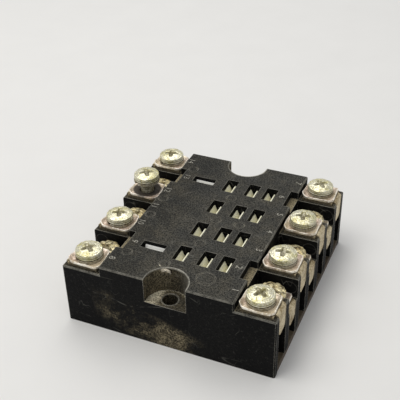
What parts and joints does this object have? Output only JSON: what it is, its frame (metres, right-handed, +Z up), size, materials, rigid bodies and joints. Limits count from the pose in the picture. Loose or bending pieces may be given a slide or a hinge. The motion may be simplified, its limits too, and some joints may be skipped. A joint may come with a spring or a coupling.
{
  "type": "relay socket",
  "caption": "Square screw terminal socket for a plug in relay: raised slotted middle, stepped terminals along both sides, fixing recesses at the ends.",
  "frame": {"origin": "middle of the footprint, on the mounting surface", "axes": "+Z up out of the contact slots, +Y along the terminal rows, +X towards terminals 1 to 7"},
  "size_m": [0.052, 0.0534, 0.0229],
  "materials": {
    "phenolic_body": "black moulded phenolic, dusty and worn at its edges",
    "base_board": "dark brown laminated board, dusty",
    "screw_steel": "yellowish plated steel, dull and scratched",
    "washer_steel": "plated spring steel, darkened",
    "clamp_plating": "worn nickel plating over brass",
    "terminal_brass": "dull plated brass with brown tarnish",
    "contact_bronze": "pale silvered bronze spring strip",
    "base_screw_steel": "plain plated steel"
  },
  "bodies": {
    "root": {"housing": "phenolic_body", "base_plate": "base_board", "base_screws": "base_screw_steel", "clamp_plates": "clamp_plating", "terminal_1": "terminal_brass", "terminal_2": "terminal_brass", "terminal_3": "terminal_brass", "terminal_4": "terminal_brass", "terminal_5": "terminal_brass", "terminal_6": "terminal_brass", "terminal_7": "terminal_brass", "terminal_8": "terminal_brass", "terminal_9": "terminal_brass", "terminal_10": "terminal_brass", "terminal_11": "terminal_brass", "terminal_12": "terminal_brass", "terminal_13": "terminal_brass", "terminal_14": "terminal_brass", "contact_clip_1": "contact_bronze", "contact_clip_2": "contact_bronze", "contact_clip_3": "contact_bronze", "contact_clip_4": "contact_bronze", "contact_clip_5": "contact_bronze", "contact_clip_6": "contact_bronze", "contact_clip_7": "contact_bronze", "contact_clip_8": "contact_bronze", "contact_clip_9": "contact_bronze", "contact_clip_10": "contact_bronze", "contact_clip_11": "contact_bronze", "contact_clip_12": "contact_bronze", "contact_clip_13": "contact_bronze", "contact_clip_14": "contact_bronze"},
    "washer_1": {"spring_washer_1": "washer_steel"},
    "screw_1": {"terminal_screw_1": "screw_steel"},
    "washer_2": {"spring_washer_2": "washer_steel"},
    "screw_2": {"terminal_screw_2": "screw_steel"},
    "washer_3": {"spring_washer_3": "washer_steel"},
    "screw_3": {"terminal_screw_3": "screw_steel"},
    "washer_4": {"spring_washer_4": "washer_steel"},
    "screw_4": {"terminal_screw_4": "screw_steel"},
    "washer_5": {"spring_washer_5": "washer_steel"},
    "screw_5": {"terminal_screw_5": "screw_steel"},
    "washer_6": {"spring_washer_6": "washer_steel"},
    "screw_6": {"terminal_screw_6": "screw_steel"},
    "washer_7": {"spring_washer_7": "washer_steel"},
    "screw_7": {"terminal_screw_7": "screw_steel"},
    "washer_8": {"spring_washer_8": "washer_steel"},
    "screw_8": {"terminal_screw_8": "screw_steel"},
    "washer_9": {"spring_washer_9": "washer_steel"},
    "screw_9": {"terminal_screw_9": "screw_steel"},
    "washer_10": {"spring_washer_10": "washer_steel"},
    "screw_10": {"terminal_screw_10": "screw_steel"},
    "washer_11": {"spring_washer_11": "washer_steel"},
    "screw_11": {"terminal_screw_11": "screw_steel"},
    "washer_12": {"spring_washer_12": "washer_steel"},
    "screw_12": {"terminal_screw_12": "screw_steel"},
    "washer_13": {"spring_washer_13": "washer_steel"},
    "screw_13": {"terminal_screw_13": "screw_steel"},
    "washer_14": {"spring_washer_14": "washer_steel"},
    "screw_14": {"terminal_screw_14": "screw_steel"}
  },
  "joints": [
    {"name": "screw_1_lift", "type": "slide", "parent": "root", "child": "washer_1", "axis": [0, 0, 1], "range_m": [0, 0.003]},
    {"name": "screw_1_turn", "type": "hinge", "parent": "washer_1", "child": "screw_1", "pos_m": [0.0209, -0.0225, 0.0163], "axis": [0, 0, 1], "range_deg": [0, 1806]},
    {"name": "screw_2_lift", "type": "slide", "parent": "root", "child": "washer_2", "axis": [0, 0, 1], "range_m": [0, 0.003]},
    {"name": "screw_2_turn", "type": "hinge", "parent": "washer_2", "child": "screw_2", "pos_m": [0.0209, -0.015, 0.011], "axis": [0, 0, 1], "range_deg": [0, 1806]},
    {"name": "screw_3_lift", "type": "slide", "parent": "root", "child": "washer_3", "axis": [0, 0, 1], "range_m": [0, 0.003]},
    {"name": "screw_3_turn", "type": "hinge", "parent": "washer_3", "child": "screw_3", "pos_m": [0.0209, -0.0075, 0.0163], "axis": [0, 0, 1], "range_deg": [0, 1806]},
    {"name": "screw_4_lift", "type": "slide", "parent": "root", "child": "washer_4", "axis": [0, 0, 1], "range_m": [0, 0.003]},
    {"name": "screw_4_turn", "type": "hinge", "parent": "washer_4", "child": "screw_4", "pos_m": [0.0209, 0, 0.011], "axis": [0, 0, 1], "range_deg": [0, 1806]},
    {"name": "screw_5_lift", "type": "slide", "parent": "root", "child": "washer_5", "axis": [0, 0, 1], "range_m": [0, 0.003]},
    {"name": "screw_5_turn", "type": "hinge", "parent": "washer_5", "child": "screw_5", "pos_m": [0.0209, 0.0075, 0.0163], "axis": [0, 0, 1], "range_deg": [0, 1806]},
    {"name": "screw_6_lift", "type": "slide", "parent": "root", "child": "washer_6", "axis": [0, 0, 1], "range_m": [0, 0.003]},
    {"name": "screw_6_turn", "type": "hinge", "parent": "washer_6", "child": "screw_6", "pos_m": [0.0209, 0.015, 0.011], "axis": [0, 0, 1], "range_deg": [0, 1806]},
    {"name": "screw_7_lift", "type": "slide", "parent": "root", "child": "washer_7", "axis": [0, 0, 1], "range_m": [0, 0.003]},
    {"name": "screw_7_turn", "type": "hinge", "parent": "washer_7", "child": "screw_7", "pos_m": [0.0209, 0.0225, 0.0163], "axis": [0, 0, 1], "range_deg": [0, 1806]},
    {"name": "screw_8_lift", "type": "slide", "parent": "root", "child": "washer_8", "axis": [0, 0, 1], "range_m": [0, 0.003]},
    {"name": "screw_8_turn", "type": "hinge", "parent": "washer_8", "child": "screw_8", "pos_m": [-0.0209, -0.0225, 0.0163], "axis": [0, 0, 1], "range_deg": [0, 1806]},
    {"name": "screw_9_lift", "type": "slide", "parent": "root", "child": "washer_9", "axis": [0, 0, 1], "range_m": [0, 0.003]},
    {"name": "screw_9_turn", "type": "hinge", "parent": "washer_9", "child": "screw_9", "pos_m": [-0.0209, -0.015, 0.011], "axis": [0, 0, 1], "range_deg": [0, 1806]},
    {"name": "screw_10_lift", "type": "slide", "parent": "root", "child": "washer_10", "axis": [0, 0, 1], "range_m": [0, 0.003]},
    {"name": "screw_10_turn", "type": "hinge", "parent": "washer_10", "child": "screw_10", "pos_m": [-0.0209, -0.0075, 0.0163], "axis": [0, 0, 1], "range_deg": [0, 1806]},
    {"name": "screw_11_lift", "type": "slide", "parent": "root", "child": "washer_11", "axis": [0, 0, 1], "range_m": [0, 0.003]},
    {"name": "screw_11_turn", "type": "hinge", "parent": "washer_11", "child": "screw_11", "pos_m": [-0.0209, 0, 0.011], "axis": [0, 0, 1], "range_deg": [0, 1806]},
    {"name": "screw_12_lift", "type": "slide", "parent": "root", "child": "washer_12", "axis": [0, 0, 1], "range_m": [-0.0027, 0.0003]},
    {"name": "screw_12_turn", "type": "hinge", "parent": "washer_12", "child": "screw_12", "pos_m": [-0.0209, 0.0075, 0.0163], "axis": [0, 0, 1], "range_deg": [-1626, 186]},
    {"name": "screw_13_lift", "type": "slide", "parent": "root", "child": "washer_13", "axis": [0, 0, 1], "range_m": [0, 0.003]},
    {"name": "screw_13_turn", "type": "hinge", "parent": "washer_13", "child": "screw_13", "pos_m": [-0.0209, 0.015, 0.011], "axis": [0, 0, 1], "range_deg": [0, 1806]},
    {"name": "screw_14_lift", "type": "slide", "parent": "root", "child": "washer_14", "axis": [0, 0, 1], "range_m": [0, 0.003]},
    {"name": "screw_14_turn", "type": "hinge", "parent": "washer_14", "child": "screw_14", "pos_m": [-0.0209, 0.0225, 0.0163], "axis": [0, 0, 1], "range_deg": [0, 1806]}
  ],
  "couplings": [
    {"joint": "screw_1_turn", "follows": "screw_1_lift", "rad_per_m": 10472},
    {"joint": "screw_2_turn", "follows": "screw_2_lift", "rad_per_m": 10472},
    {"joint": "screw_3_turn", "follows": "screw_3_lift", "rad_per_m": 10472},
    {"joint": "screw_4_turn", "follows": "screw_4_lift", "rad_per_m": 10472},
    {"joint": "screw_5_turn", "follows": "screw_5_lift", "rad_per_m": 10472},
    {"joint": "screw_6_turn", "follows": "screw_6_lift", "rad_per_m": 10472},
    {"joint": "screw_7_turn", "follows": "screw_7_lift", "rad_per_m": 10472},
    {"joint": "screw_8_turn", "follows": "screw_8_lift", "rad_per_m": 10472},
    {"joint": "screw_9_turn", "follows": "screw_9_lift", "rad_per_m": 10472},
    {"joint": "screw_10_turn", "follows": "screw_10_lift", "rad_per_m": 10472},
    {"joint": "screw_11_turn", "follows": "screw_11_lift", "rad_per_m": 10472},
    {"joint": "screw_12_turn", "follows": "screw_12_lift", "rad_per_m": 10472},
    {"joint": "screw_13_turn", "follows": "screw_13_lift", "rad_per_m": 10472},
    {"joint": "screw_14_turn", "follows": "screw_14_lift", "rad_per_m": 10472}
  ]
}
